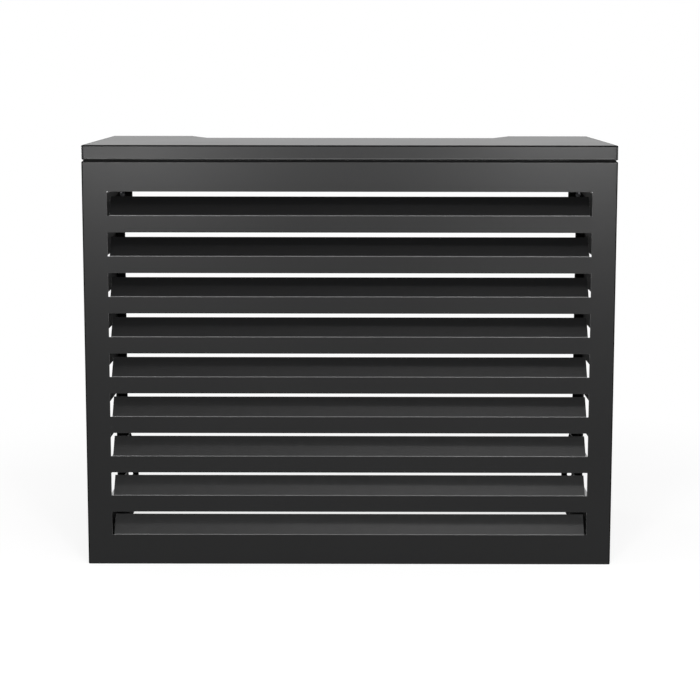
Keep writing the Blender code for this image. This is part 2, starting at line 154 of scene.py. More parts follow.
# %% [markdown]
# ## White room
# The picture has a plain white ground. A white room could be lit until it burns out, but then the
# object would be overlit too. Instead the room is white by its own colour to the eye and in
# reflections, and gives the object only a plain, even fill. One helper holds that switch: it tells
# rays that are seen, directly or in a reflection, from rays that carry light. The louvres lean back
# and mirror what is above them, and in the picture their upper rows are nearly black. So a dark flag
# is taken to hang overhead, as a photographer might hang one. It is a round patch of the sky, and its
# tone comes from one number, how far a direction turns away from the flag's middle.


# %% Room
def seen_ray(tree):
    """Number that is 1 for rays that are seen, directly, in gloss or through glass."""
    path = add_node(tree, "LightPath")
    total = add_node(tree, "Math", operation="ADD")
    seen = add_node(tree, "Math", operation="ADD", use_clamp=True)
    wire(
        tree,
        ((path, "Is Camera Ray"), (total, 0)),
        ((path, "Is Glossy Ray"), (total, 1)),
        ((total, "Value"), (seen, 0)),
        ((path, "Is Transmission Ray"), (seen, 1)),
    )
    return seen


WHITE = (1.0, 1.0, 1.0, 1.0)
ROOM_FILL = 0.3
FLAG_RISE = math.radians(83)
FLAG_WAY = (0.0, -math.cos(FLAG_RISE), math.sin(FLAG_RISE))
FLAG_STARTS_AT = math.cos(math.radians(25))
FLAG_FULL_AT = math.cos(math.radians(10))
FLAG_TONE = 0.1
room = bpy.data.worlds.new("white_room")
room.use_nodes = True
bpy.context.scene.world = room
tree = room.node_tree
tree.nodes.clear()
fill = add_node(tree, "Background", {"Color": WHITE, "Strength": ROOM_FILL})
white = add_node(tree, "Background", {"Color": WHITE})
way = add_node(tree, "TexCoord")
towards = add_node(tree, "VectorMath", {1: FLAG_WAY}, operation="DOT_PRODUCT")
flag = add_node(
    tree,
    "MapRange",
    {"From Min": FLAG_STARTS_AT, "From Max": FLAG_FULL_AT, "To Min": 1.0, "To Max": FLAG_TONE},
)
either = add_node(tree, "MixShader")
out = add_node(tree, "OutputWorld")
wire(
    tree,
    ((way, "Generated"), (towards, 0)),
    ((towards, "Value"), (flag, "Value")),
    ((flag, "Result"), (white, "Strength")),
    ((seen_ray(tree), "Value"), (either, "Fac")),
    ((fill, "Background"), (either, 1)),
    ((white, "Background"), (either, 2)),
    ((either, "Shader"), (out, "Surface")),
)
print("room gives a fill of", ROOM_FILL)

# %% [markdown]
# ## Floor
# The floor is a sheet of white paper. It has to look white and still keep the soft shadow under the
# cover, so part of its white is its own and part is light that falls on it, which the cover can
# take away. Further out, where no shadow falls, all of it is its own, and the paper runs into the
# white room with no line.

# %% Floor
FLOOR_RADIUS = 7.0
FLOOR_POINTS = 96
PAPER_OWN_WHITE = 0.80
PAPER_LIT_COLOUR = (0.30, 0.30, 0.30, 1.0)
PAPER_COLOUR = (0.72, 0.72, 0.72, 1.0)
SHADOW_KEPT_TO = 0.9
SHADOW_GONE_AT = 1.6

paper_shape = bmesh.new()
bmesh.ops.create_circle(paper_shape, cap_ends=True, segments=FLOOR_POINTS, radius=FLOOR_RADIUS)
floor = stand("floor", new_mesh("floor", paper_shape), (0, 0, 0))

paper = bpy.data.materials.new("white_paper")
paper.use_nodes = True
floor.data.materials.append(paper)
tree = paper.node_tree
tree.nodes.clear()
own = add_node(tree, "Emission", {"Color": WHITE, "Strength": PAPER_OWN_WHITE})
lit = add_node(tree, "BsdfDiffuse", {"Color": PAPER_LIT_COLOUR})
near = add_node(tree, "AddShader")
far = add_node(tree, "Emission", {"Color": WHITE, "Strength": 1.0})
place = add_node(tree, "TexCoord")
distance = add_node(tree, "VectorMath", operation="LENGTH")
fade = add_node(
    tree,
    "MapRange",
    {"From Min": SHADOW_KEPT_TO, "From Max": SHADOW_GONE_AT},
    interpolation_type="SMOOTHSTEP",
)
to_eye = add_node(tree, "MixShader")
for_light = add_node(tree, "BsdfDiffuse", {"Color": PAPER_COLOUR})
either = add_node(tree, "MixShader")
out = add_node(tree, "OutputMaterial")
wire(
    tree,
    ((own, "Emission"), (near, 0)),
    ((lit, "BSDF"), (near, 1)),
    ((place, "Object"), (distance, 0)),
    ((distance, "Value"), (fade, "Value")),
    ((fade, "Result"), (to_eye, "Fac")),
    ((near, "Shader"), (to_eye, 1)),
    ((far, "Emission"), (to_eye, 2)),
    ((seen_ray(tree), "Value"), (either, "Fac")),
    ((for_light, "BSDF"), (either, 1)),
    ((to_eye, "Shader"), (either, 2)),
    ((either, "Shader"), (out, "Surface")),
)
print("floor of", FLOOR_RADIUS, "m radius")

# %% [markdown]
# ## Light
# Dark satin sheet is lit by what it mirrors. In the picture the front is lighter towards the top and
# both sides and darkest at the foot. Two small, bright soft boxes left and right of the camera, at
# about its height, give just that: their mirror images lie beside the upper corners, and the coat
# spreads them. A faint one between them keeps the middle from going black. A fourth hangs above and
# in front of the cover, right of its middle. The lower louvres mirror it, which makes them a little
# lighter, more so towards the right, and painted light on their blades, a paler colour near the
# ground, adds the rest. Three more boxes, which the picture doesn't need, stand at the sides and
# behind, so that the cover can be studied from there as well. The one behind stands low and well to
# the left, or the lid and the insides of the louvres would mirror it. A box is described by its size
# and its brightness, as a photographer meters it, where 1 looks white, and the loop turns that into
# lamp power for its area.

# %% Soft boxes
AIM = Vector((0.0, 0.0, 0.45))
SOFT_BOXES = {
    "left_soft_box": {"place": (-0.82, -3.7, 1.0), "width": 0.45, "height": 0.5, "brightness": 66},
    "right_soft_box": {"place": (0.84, -3.7, 1.0), "width": 0.45, "height": 0.5, "brightness": 72},
    "middle_soft_box": {"place": (0.0, -3.75, 1.2), "width": 0.9, "height": 0.3, "brightness": 11},
    "top_soft_box": {"place": (0.35, -1.75, 3.0), "width": 1.2, "height": 0.45, "brightness": 7},
    "left_side_box": {"place": (-3.6, -0.8, 0.95), "width": 0.5, "height": 0.5, "brightness": 50},
    "right_side_box": {"place": (3.6, -0.8, 0.95), "width": 0.5, "height": 0.5, "brightness": 50},
    "rear_soft_box": {"place": (-2.8, 2.6, 0.45), "width": 0.6, "height": 0.5, "brightness": 40},
}

for name, asked in SOFT_BOXES.items():
    lamp = bpy.data.lights.new(name, "AREA")
    lamp.shape = "RECTANGLE"
    lamp.size = asked["width"]
    lamp.size_y = asked["height"]
    lamp.energy = asked["brightness"] * math.pi * asked["width"] * asked["height"]
    facing = (AIM - Vector(asked["place"])).to_track_quat("-Z", "Y").to_euler()
    stand(name, lamp, asked["place"], facing).visible_camera = False
print(len(SOFT_BOXES), "soft boxes")

# %% [markdown]
# ## Satin powder coat
# Powder coat is baked plastic. It flows before it sets, so its skin has a shallow orange peel a
# couple of millimetres across, with a finer grain on top and a gloss that wanders slightly from
# place to place. All of that is three noises at their real scale: two feed the bump, the third feeds
# the roughness, and the grain also gives the colour a faint mottle. Object coordinates are metres
# here, so a scale of 500 means bumps 2 mm apart. The same tree makes four coats, each with values of
# its own. On the flat it is satin. Fine light lines run along cut edges, louvre feet and the lid's
# lower rim, so the coat there is made a little shinier and painted paler: a painted highlight. A thin
# dark line runs round the cover, so over the tight bends at the upright corners and round the lid's
# top the coat is painted a shade darker and has no gloss: painted shade. Inside, the coat is painted
# darker and nearly matt, as painted shade for the dark interior. A fifth coat, for the louvres'
# blades, is made in the next step.

# %% Powder coat
PEEL_SCALE = 480.0
GRAIN_SCALE = 3200.0
CLOUD_SCALE = 7.0
PEEL_HEIGHT = 0.00003
GRAIN_HEIGHT = 0.000006


def coat_finish(name, colour, roughness, specular, mottle=0.12, wander=0.02):
    """Powder coat of one colour, with its peel, grain, mottle and wandering gloss."""
    coat, tree, shader, place = new_finish(name, {"Specular IOR Level": specular})
    peel = add_node(tree, "TexNoise", {"Scale": PEEL_SCALE, "Detail": 1.5})
    grain = add_node(tree, "TexNoise", {"Scale": GRAIN_SCALE, "Detail": 2.0})
    cloud = add_node(tree, "TexNoise", {"Scale": CLOUD_SCALE, "Detail": 4.0})
    peel_bump = add_node(tree, "Bump", {"Distance": PEEL_HEIGHT, "Strength": 1.0})
    grain_bump = add_node(tree, "Bump", {"Distance": GRAIN_HEIGHT, "Strength": 1.0})
    gloss = add_node(tree, "MapRange", {"To Min": roughness - wander, "To Max": roughness + wander})
    shade = add_node(tree, "MapRange", {"To Min": 1.0 - mottle, "To Max": 1.0 + mottle})
    tone = add_node(tree, "VectorMath", {0: colour}, operation="SCALE")
    wire(
        tree,
        ((place, "Object"), (peel, "Vector")),
        ((place, "Object"), (grain, "Vector")),
        ((place, "Object"), (cloud, "Vector")),
        ((peel, "Fac"), (peel_bump, "Height")),
        ((peel_bump, "Normal"), (grain_bump, "Normal")),
        ((grain, "Fac"), (grain_bump, "Height")),
        ((grain_bump, "Normal"), (shader, "Normal")),
        ((cloud, "Fac"), (gloss, "Value")),
        ((gloss, "Result"), (shader, "Roughness")),
        ((grain, "Fac"), (shade, "Value")),
        ((shade, "Result"), (tone, "Scale")),
        ((tone, "Vector"), (shader, "Base Color")),
    )
    return coat


SATIN = {"colour": (0.0073, 0.0074, 0.0076), "roughness": 0.30, "specular": 0.15}
# Paler, shinier coat for cut edges, louvre feet and the lid's lower rim: a painted highlight.
PAINTED_HIGHLIGHT = {"colour": (0.020, 0.0202, 0.0205), "roughness": 0.34, "specular": 0.50}
# Darker, glossless coat over tight bends: painted shade for the thin dark line round the cover.
PAINTED_SHADE_BEND = {"colour": (0.0070, 0.0070, 0.0071), "roughness": 0.45, "specular": 0.0, "wander": 0.03}
# Darker, nearly matt coat for every inner face: painted shade for the dark interior.
PAINTED_SHADE_INSIDE = {
    "colour": (0.0055, 0.0055, 0.0055),
    "roughness": 0.75,
    "specular": 0.02,
    "mottle": 0.20,
    "wander": 0.05,
}
satin_coat = coat_finish("satin_powder_coat", **SATIN)
highlight_coat = coat_finish("painted_highlight_powder_coat", **PAINTED_HIGHLIGHT)
shaded_bend_coat = coat_finish("painted_shade_bend_coat", **PAINTED_SHADE_BEND)
shaded_inside_coat = coat_finish("painted_shade_inside_coat", **PAINTED_SHADE_INSIDE)
print("coat colour", SATIN["colour"])

# %% [markdown]
# ## Painted light on the louvres
# In the picture the blades of the lower rows are clearly paler than the front round them, and those
# of the upper rows aren't. They look clean, so their paleness comes from the light, but none of the
# lamps tried here gave all of it. So the rest is painted light: a paler colour laid over the same
# satin coat, strongest near the ground. Its strength was chosen so that the tones agree. It grows
# towards the ground in an S-shaped curve, and one more noise keeps it from being quite even.

# %% Painted light on the blades
# Paler colour painted onto the lower blades: painted light, strongest near the ground.
PAINTED_BLADE_LIGHT_COLOUR = (0.0530, 0.0532, 0.0535, 1.0)
BLADE_LIGHT_FROM = 0.62
BLADE_LIGHT_FULL_AT = 0.05
BLADE_LIGHT_PATCH_SCALE = 60.0
BLADE_LIGHT_WEAKEST = 0.41
BLADE_LIGHT_STRONGEST = 0.57

painted_light_blade_coat = coat_finish("blade_coat_with_painted_light", **SATIN)
tree = painted_light_blade_coat.node_tree
shader = tree.nodes["Principled BSDF"]
plain_tone = shader.inputs["Base Color"].links[0].from_node
place = add_node(tree, "TexCoord")
apart = add_node(tree, "SeparateXYZ")
light_rise = add_node(
    tree,
    "MapRange",
    {"From Min": BLADE_LIGHT_FROM, "From Max": BLADE_LIGHT_FULL_AT},
    interpolation_type="SMOOTHSTEP",
)
patches = add_node(tree, "TexNoise", {"Scale": BLADE_LIGHT_PATCH_SCALE, "Detail": 6.0})
cover = add_node(tree, "MapRange", {"To Min": BLADE_LIGHT_WEAKEST, "To Max": BLADE_LIGHT_STRONGEST})
broken = add_node(tree, "Math", operation="MULTIPLY")
tone = add_node(tree, "Mix", {"B": PAINTED_BLADE_LIGHT_COLOUR}, data_type="RGBA")
wire(
    tree,
    ((place, "Object"), (apart, "Vector")),
    ((apart, "Z"), (light_rise, "Value")),
    ((place, "Object"), (patches, "Vector")),
    ((light_rise, "Result"), (broken, 0)),
    ((patches, "Fac"), (cover, "Value")),
    ((cover, "Result"), (broken, 1)),
    ((broken, "Value"), (tone, "Factor")),
    ((plain_tone, "Vector"), (tone, "A")),
    ((tone, "Result"), (shader, "Base Color")),
)
SHEET_COATS = (satin_coat, highlight_coat, painted_light_blade_coat, shaded_bend_coat, shaded_inside_coat)
print("painted blade light begins", BLADE_LIGHT_FROM, "m above the ground")

# %% [markdown]
# ## Black zinc plate
# The bolts, nuts, studs and pins are taken as steel under black zinc: a dark metal with fine rings
# from turning, rubbed brighter where a spanner bears. Each fastener keeps its own axis as its Z, so
# distance from that axis tells a corner of the hexagon from its middle, and noise squeezed along the
# axis gives the rings. A painted mask would do the same, but this needs no painting and fits all.

# %% Black zinc
ZINC_COLOUR = (0.085, 0.086, 0.090, 1.0)
RUBBED_COLOUR = (0.42, 0.42, 0.43, 1.0)
RUB_FROM = 0.00515
RUB_TO = 0.0062
RING_SQUEEZE = (400.0, 400.0, 9000.0)
RING_HEIGHT = 0.000012
WEAR_SCALE = 900.0
ZINC_SMOOTHEST = 0.28
ZINC_ROUGHEST = 0.46

zinc, tree, shader, place = new_finish("black_zinc", {"Metallic": 1.0})
flat = add_node(tree, "VectorMath", {1: (1.0, 1.0, 0.0)}, operation="MULTIPLY")
reach = add_node(tree, "VectorMath", operation="LENGTH")
rub = add_node(tree, "MapRange", {"From Min": RUB_FROM, "From Max": RUB_TO})
patchy = add_node(tree, "TexNoise", {"Scale": WEAR_SCALE, "Detail": 5.0})
broken = add_node(tree, "Math", operation="MULTIPLY")
tone = add_node(tree, "Mix", {"A": ZINC_COLOUR, "B": RUBBED_COLOUR}, data_type="RGBA")
squeeze = add_node(tree, "VectorMath", {1: RING_SQUEEZE}, operation="MULTIPLY")
rings = add_node(tree, "TexNoise", {"Scale": 1.0, "Detail": 2.0})
ring_bump = add_node(tree, "Bump", {"Distance": RING_HEIGHT, "Strength": 1.0})
gloss = add_node(tree, "MapRange", {"To Min": ZINC_SMOOTHEST, "To Max": ZINC_ROUGHEST})
wire(
    tree,
    ((place, "Object"), (flat, 0)),
    ((flat, "Vector"), (reach, 0)),
    ((reach, "Value"), (rub, "Value")),
    ((place, "Object"), (patchy, "Vector")),
    ((rub, "Result"), (broken, 0)),
    ((patchy, "Fac"), (broken, 1)),
    ((broken, "Value"), (tone, "Factor")),
    ((tone, "Result"), (shader, "Base Color")),
    ((place, "Object"), (squeeze, 0)),
    ((squeeze, "Vector"), (rings, "Vector")),
    ((rings, "Fac"), (ring_bump, "Height")),
    ((ring_bump, "Normal"), (shader, "Normal")),
    ((patchy, "Fac"), (gloss, "Value")),
    ((gloss, "Result"), (shader, "Roughness")),
)
print("zinc colour", ZINC_COLOUR[:3])

# %% [markdown]
# ## Black rubber
# In the picture no light comes through the gap under the lid, so something fills it. It's taken as
# strips of extruded rubber: matt, dark and very slightly bloomed with grey. A fine noise gives the
# skin, and a coarser one lays the bloom in patches.

# %% Rubber
RUBBER_COLOUR = (0.004, 0.004, 0.004, 1.0)
BLOOM_COLOUR = (0.012, 0.012, 0.0115, 1.0)
RUBBER_SHEEN = {"Roughness": 0.8, "Specular IOR Level": 0.1}
SKIN_SCALE = 2600.0
SKIN_HEIGHT = 0.00002
BLOOM_SCALE = 260.0
BLOOM_FROM = 0.5
BLOOM_FULL_AT = 0.75

rubber, tree, shader, place = new_finish("black_rubber", RUBBER_SHEEN)
skin_noise = add_node(tree, "TexNoise", {"Scale": SKIN_SCALE, "Detail": 3.0})
skin_bump = add_node(tree, "Bump", {"Distance": SKIN_HEIGHT, "Strength": 1.0})
bloom = add_node(tree, "TexNoise", {"Scale": BLOOM_SCALE, "Detail": 5.0})
patches_of_bloom = add_node(tree, "MapRange", {"From Min": BLOOM_FROM, "From Max": BLOOM_FULL_AT})
tone = add_node(tree, "Mix", {"A": RUBBER_COLOUR, "B": BLOOM_COLOUR}, data_type="RGBA")
wire(
    tree,
    ((place, "Object"), (skin_noise, "Vector")),
    ((skin_noise, "Fac"), (skin_bump, "Height")),
    ((skin_bump, "Normal"), (shader, "Normal")),
    ((place, "Object"), (bloom, "Vector")),
    ((bloom, "Fac"), (patches_of_bloom, "Value")),
    ((patches_of_bloom, "Result"), (tone, "Factor")),
    ((tone, "Result"), (shader, "Base Color")),
)
print("rubber colour", RUBBER_COLOUR[:3])

# %% [markdown]
# ## Sizes of the sheet and its folds
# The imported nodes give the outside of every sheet, so those places are read from them. What a box
# can't tell, such as the gauge of the sheet or the radius of its bends, is a named size here, the
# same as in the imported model. The three directions get names too, since every fold, hole and
# fastener points along one of them.

# %% Sizes
SHEET = 0.0015
BEND_RADIUS = 0.0025
BEND_STEPS = 8
WELD = 0.00001
CORNER_RELIEF = 0.0010
CORNER_WELD_DEPTH = 0.012
ALONG_X = Vector((1, 0, 0))
ALONG_Y = Vector((0, 1, 0))
ALONG_Z = Vector((0, 0, 1))

front_low, front_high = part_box("front_panel")
side_low, side_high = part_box("right_panel")
lid_low, lid_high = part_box("lid")
side_x = front_high.x
body_height = front_high.z
side_length = side_high.y - side_low.y
print("panels stand", round(body_height, 4), "m high under a lid", round(lid_high.z - lid_low.z, 4))

# %% [markdown]
# ## One way to fold a sheet
# A folded sheet is a surface with a thickness. Modelling both faces by hand doubles the work and the
# slips, so only the outer face is drawn, as strips between lines, each in its coat. The strips are
# welded, Solidify gives the gauge on the inside, a Boolean cuts the holes and Bevel takes the
# sharpness off every cut edge, as the coat does. Weighted normals keep the broad faces flat next to
# their bends. First come the three tools that this needs.

# %% Folding tools
HOLE_POINTS = 48
DRILL_OVERRUN = 0.004


def drawn_face(name, strips, outward):
    """Weld strips, sorted by coat, into one face of a sheet that looks outward."""
    face = bmesh.new()
    for coat, group in strips.items():
        for strip in group:
            part = face.faces.new([face.verts.new(point) for point in strip])
            part.material_index = SHEET_COATS.index(coat)
    bmesh.ops.remove_doubles(face, verts=face.verts, dist=WELD)
    bmesh.ops.recalc_face_normals(face, faces=face.faces)
    largest = max(face.faces, key=lambda part: part.calc_area())
    if largest.normal.dot(outward) < 0:
        bmesh.ops.reverse_faces(face, faces=face.faces)
    return new_mesh(name, face)


def drill_bits(holes):
    """One object of round bits, each given as its centre, axis, radius and length."""
    bits = bmesh.new()
    for centre, axis, radius, length in holes:
        turn = ALONG_Z.rotation_difference(axis).to_matrix().to_4x4()
        bmesh.ops.create_cone(
            bits,
            cap_ends=True,
            segments=HOLE_POINTS,
            radius1=radius,
            radius2=radius,
            depth=length,
            matrix=Matrix.Translation(centre) @ turn,
        )
    return stand("drill_bits", new_mesh("drill_bits", bits), (0, 0, 0))


def settle(piece):
    """Swap a piece's mesh for the one that its modifiers make."""
    graph = bpy.context.evaluated_depsgraph_get()
    finished = bpy.data.meshes.new_from_object(
        piece.evaluated_get(graph), preserve_all_data_layers=True, depsgraph=graph
    )
    piece.modifiers.clear()
    piece.data = finished
    finished.name = piece.name


print("drill bits have", HOLE_POINTS, "sides")

# %% [markdown]
# ## The steps of the fold
# Solidify finds an inner face's coat by counting on from its outer face's, and stops at the last in
# the list. So the inside coat stands last, and every inner face gets it. The modifiers are settled
# into plain mesh, so that the piece is what it looks like. A point that they or rounding have pushed
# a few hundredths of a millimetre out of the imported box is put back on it. Then the sheet is dressed:
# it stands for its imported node, on the body that the node rides on.


# %% Fold a sheet
EDGE_ROUND = 0.00025
EDGE_STEPS = 2
CUT_ANGLE = math.radians(50)


def add_modifier(piece, name, kind, **settings):
    """Add a modifier to a piece and set it."""
    made = piece.modifiers.new(name, kind)
    for setting, value in settings.items():
        setattr(made, setting, value)


def dress(piece, node):
    """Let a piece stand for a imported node, on the body that the node rides on."""
    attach(piece, frame["nodes"][node]["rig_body"])
    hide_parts(node)


def form_sheet(sheet, thickness, bits):
    """Give a drawn sheet its gauge, its holes and its eased edges."""
    # Rims of the cut, hole walls and eased edges get the paler coat: a painted highlight.
    highlit = SHEET_COATS.index(highlight_coat)
    add_modifier(
        sheet,
        "gauge",
        "SOLIDIFY",
        thickness=thickness,
        offset=-1,
        use_even_offset=True,
        use_quality_normals=True,
        material_offset=SHEET_COATS.index(shaded_inside_coat),
        material_offset_rim=highlit,
    )
    add_modifier(sheet, "holes", "BOOLEAN", object=bits)
    add_modifier(
        sheet,
        "eased_edges",
        "BEVEL",
        width=EDGE_ROUND,
        segments=EDGE_STEPS,
        limit_method="ANGLE",
        angle_limit=CUT_ANGLE,
        use_clamp_overlap=False,
        material=highlit,
    )
    add_modifier(sheet, "even_normals", "WEIGHTED_NORMAL", keep_sharp=True)
    settle(sheet)


def fold_sheet(node, strips, outward, thickness, where, holes):
    """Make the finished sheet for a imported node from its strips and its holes."""
    mesh = drawn_face("finished_" + node, strips, outward)
    mesh.transform(where)
    mesh.shade_smooth()
    bits = drill_bits(holes)
    for coat in SHEET_COATS:
        mesh.materials.append(coat)
        bits.data.materials.append(coat)
    for part in bits.data.polygons:
        part.material_index = SHEET_COATS.index(highlight_coat)
    sheet = stand("finished_" + node, mesh, (0, 0, 0))
    form_sheet(sheet, thickness, bits)
    bpy.data.objects.remove(bits)
    limits = list(zip(*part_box(node)))
    for corner in sheet.data.vertices:
        corner.co = [min(max(at, low), high) for at, (low, high) in zip(corner.co, limits)]
    dress(sheet, node)
    print(node, "has", len(sheet.data.polygons), "faces and", len(holes), "holes")


# %% [markdown]
# ## Flange profiles
# A press brake bends a flange over a quarter circle. Its profile is drawn across the edge: how far
# in from the edge each point lies, and how far behind the face. The returns at the front corners
# turn twice, so their profile goes on round a second quarter circle. Where two flanges meet, the
# corner is made as if welded shut for a short way and ground round. Past the weld both flanges end
# free. So every profile has a point at the depth of the weld, and the strips beside a corner stop
# there.


# %% Flange profiles
def quarter():
    """Sines and cosines along a quarter turn."""
    turns = [math.pi / 2 * step / BEND_STEPS for step in range(BEND_STEPS + 1)]
    return [(math.sin(turn), math.cos(turn)) for turn in turns]


def turned_once(depth):
    """Profile of a plain flange."""
    bend = [(BEND_RADIUS * (1 - sine), BEND_RADIUS * (1 - cosine)) for sine, cosine in quarter()]
    return bend + [(0, CORNER_WELD_DEPTH), (0, depth)]


def turned_twice(depth, reach):
    """Profile of a return that goes back and then in behind the panel."""
    start = depth - BEND_RADIUS
    bend = [(BEND_RADIUS * (1 - cosine), start + BEND_RADIUS * sine) for sine, cosine in quarter()]
    return turned_once(start)[:-1] + bend + [(reach, depth)]


def along_edge(edge, along, inset, depth, width):
    """Point of a flange in a panel's own axes: X along it, Y behind its face, Z up."""
    return {
        "left": (inset - width / 2, depth, along),
        "right": (width / 2 - inset, depth, along),
        "bottom": (along, depth, inset),
        "top": (along, depth, body_height - inset),
    }[edge]


def flange_strips(edge, lines, profile_at, width):
    """Strips of a flange between neighbouring lines across it: those of its bend, then the flat."""
    bend = []
    flat = []
    for low, high in zip(lines, lines[1:]):
        beside_corner = low == lines[0] or high == lines[-1]
        points = slice(BEND_STEPS + 2 if beside_corner else None)
        near = [along_edge(edge, low, *point, width) for point in profile_at(low)[points]]
        far = [along_edge(edge, high, *point, width) for point in profile_at(high)[points]]
        strips = list(zip(near, near[1:], far[1:], far))
        bend += strips[:BEND_STEPS]
        flat += strips[BEND_STEPS:]
    return bend, flat


def corner_strips(width, across, up):
    """One welded corner: an eighth of a ball between the two bends, and a round edge behind it."""
    centre = Vector((across * (width / 2 - BEND_RADIUS), BEND_RADIUS, body_height / 2))
    centre.z += up * (body_height / 2 - BEND_RADIUS)
    rings = []
    for sine, cosine in quarter():
        ring = [Vector((across * sine * near, -cosine, up * sine * far)) for far, near in quarter()]
        rings.append([centre + point * BEND_RADIUS for point in ring])
    rings.append([Vector((point.x, CORNER_WELD_DEPTH, point.z)) for point in rings[-1]])
    strips = []
    for upper, lower in zip(rings, rings[1:]):
        strips += zip(upper, upper[1:], lower[1:], lower)
    return strips


print("bends of", BEND_STEPS, "steps, corners welded", CORNER_WELD_DEPTH, "m deep")

# %% [markdown]
# ## Louvres
# A louvre is cut on three sides and bent back along the fourth, its foot. In the picture a fine
# bright line runs along each foot, where the bend catches the light, so the bend gets a true arc. A
# square notch at each end of the foot keeps the bend clear of the slot's corners, and leaves the
# slim openings beside the blades.

# %% Louvres
LOUVRE_COUNT = 9
LOUVRE_PITCH = 0.07635
LOUVRE_HEIGHT = 0.045
LOUVRE_KERF = 0.0003
LOUVRE_LEAN = math.radians(40)
LOUVRE_END_NOTCH = 0.0038
LOUVRE_TOP_MARGIN = 0.0564
LOUVRE_BEND_STEPS = 6

top_sill = body_height - LOUVRE_TOP_MARGIN - LOUVRE_HEIGHT
sills = [top_sill - LOUVRE_PITCH * number for number in range(LOUVRE_COUNT)]


def louvre_strips(left, right, sill):
    """One blade: strips of an arc along its foot, then a flat one that leans back and up."""
    turns = [LOUVRE_LEAN * step / LOUVRE_BEND_STEPS for step in range(LOUVRE_BEND_STEPS + 1)]
    stations = [(BEND_RADIUS * (1 - math.cos(turn)), BEND_RADIUS * math.sin(turn)) for turn in turns]
    depth, rise = stations[-1]
    run = LOUVRE_HEIGHT - LOUVRE_KERF - BEND_RADIUS * LOUVRE_LEAN
    stations.append((depth + run * math.sin(LOUVRE_LEAN), rise + run * math.cos(LOUVRE_LEAN)))
    strips = []
    for (near, low), (far, high) in zip(stations, stations[1:]):
        foot = ((left, near, sill + low), (right, near, sill + low))
        strips.append(foot + ((right, far, sill + high), (left, far, sill + high)))
    return strips


print(len(sills), "louvres a panel, sills from", round(sills[0], 4), "down to", round(sills[-1], 4))

# %% [markdown]
# ## A louvred panel
# The flat of a panel is a grid. Lines cross it at every height where a bend, a slot or an ear begins
# or ends, others run up it beside the slots, and the fields inside a slot are left out. The flanges
# are drawn between the same lines, so their points meet those of the flat and weld. All strips are
# handed on sorted by coat: the upright bends and the corners in painted shade, the louvres' feet in a
# painted highlight, their blades in painted light and the rest satin.


# %% Louvred panel
def panel_levels(extra_lines):
    """Heights of the lines across a panel: its bends, its slots and any that a flange needs."""
    low = BEND_RADIUS + CORNER_RELIEF
    levels = {BEND_RADIUS, low, body_height - low, body_height - BEND_RADIUS, *extra_lines}
    levels.update(level for sill in sills for level in (sill, sill + LOUVRE_HEIGHT))
    return sorted(levels)


def slotted_strips(across, up, left, right):
    """The flat of a panel between its lines, without the slots from left to right."""
    flat = []
    for x_low, x_high in zip(across, across[1:]):
        for z_low, z_high in zip(up, up[1:]):
            in_row = any(sill < (z_low + z_high) / 2 < sill + LOUVRE_HEIGHT for sill in sills)
            if in_row and left <= x_low < right:
                continue
            base = ((x_low, 0, z_low), (x_high, 0, z_low))
            flat.append(base + ((x_high, 0, z_high), (x_low, 0, z_high)))
    return flat


def louvred_strips(width, slot_margin, flanges, extra_lines=()):
    """A panel with its louvres and a flange on each edge, sorted by coat."""
    left = slot_margin - width / 2
    right = width / 2 - slot_margin
    blade_left = left + LOUVRE_END_NOTCH
    blade_right = right - LOUVRE_END_NOTCH
    flat_end = width / 2 - BEND_RADIUS
    flange_end = flat_end - CORNER_RELIEF
    across = [-flat_end, -flange_end, left, blade_left, blade_right, right, flange_end, flat_end]
    up = panel_levels(extra_lines)
    flat = slotted_strips(across, up, left, right)
    bend = []
    foot = []
    blades = []
    for sill in sills:
        *arc, blade = louvre_strips(blade_left, blade_right, sill)
        foot += arc
        blades.append(blade)
    for edge, profile_at in flanges.items():
        upright = edge in ("left", "right")
        turned, straight = flange_strips(edge, up if upright else across, profile_at, width)
        if upright:
            bend += turned
        else:
            flat += turned
        flat += straight
    for corner in ((-1, -1), (1, -1), (-1, 1), (1, 1)):
        bend += corner_strips(width, *corner)
    # Bends and corners get painted shade, louvre feet a painted highlight, blades painted light.
    return {satin_coat: flat, shaded_bend_coat: bend, highlight_coat: foot, painted_light_blade_coat: blades}


print("a panel is drawn between", len(panel_levels(())), "heights")

# %% [markdown]
# ## Where the holes are
# Every hole in the sheets has a bolt, a pin or a stud in it, or waits for a screw from outside. The
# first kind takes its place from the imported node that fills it, so the two can't drift apart. The
# second kind has sizes of its own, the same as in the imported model.

# %% Holes
THREAD_RADIUS = 0.003
HOLE_CLEARANCE = 0.0003
SEAT_GAP = 0.0003
SNUG_HOLE_RADIUS = THREAD_RADIUS + HOLE_CLEARANCE


def hole(centre, axis, radius, gauge=SHEET):
    """Hole through a sheet, by a bit that leaves it on both faces."""
    return Vector(centre), axis, radius, gauge + 2 * DRILL_OVERRUN


def holes_for(nodes, axis, level, radius):
    """Holes for packed fasteners, at a level along the axis that they share."""
    made = []
    for node in nodes:
        low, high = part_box(node)
        centre = (low + high) / 2
        made.append(hole(centre + axis * (level - centre.dot(axis)), axis, radius))
    return made


def nodes_from(start):
    """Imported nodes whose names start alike."""
    return [name for name in sorted(frame["nodes"]) if name.startswith(start)]


# %% [markdown]
# ## Front panel
# The front panel turns back twice along both upright edges. The first turn makes the corner that
# shows, the second lies flat against the side panel's flange and takes the bolts. Its top and bottom
# edges turn back once, which keeps so large a sheet from drumming. The joint is hidden in the
# picture, and this is a usual one.

# %% Front panel
FRONT_SLOT_MARGIN = 0.0465
FRONT_RETURN_REACH = 0.020
FRONT_EDGE_FLANGE = 0.025

seam_y = front_high.y


def same_all_along(profile):
    """Profile of a flange that doesn't change along its edge."""
    return lambda along: profile


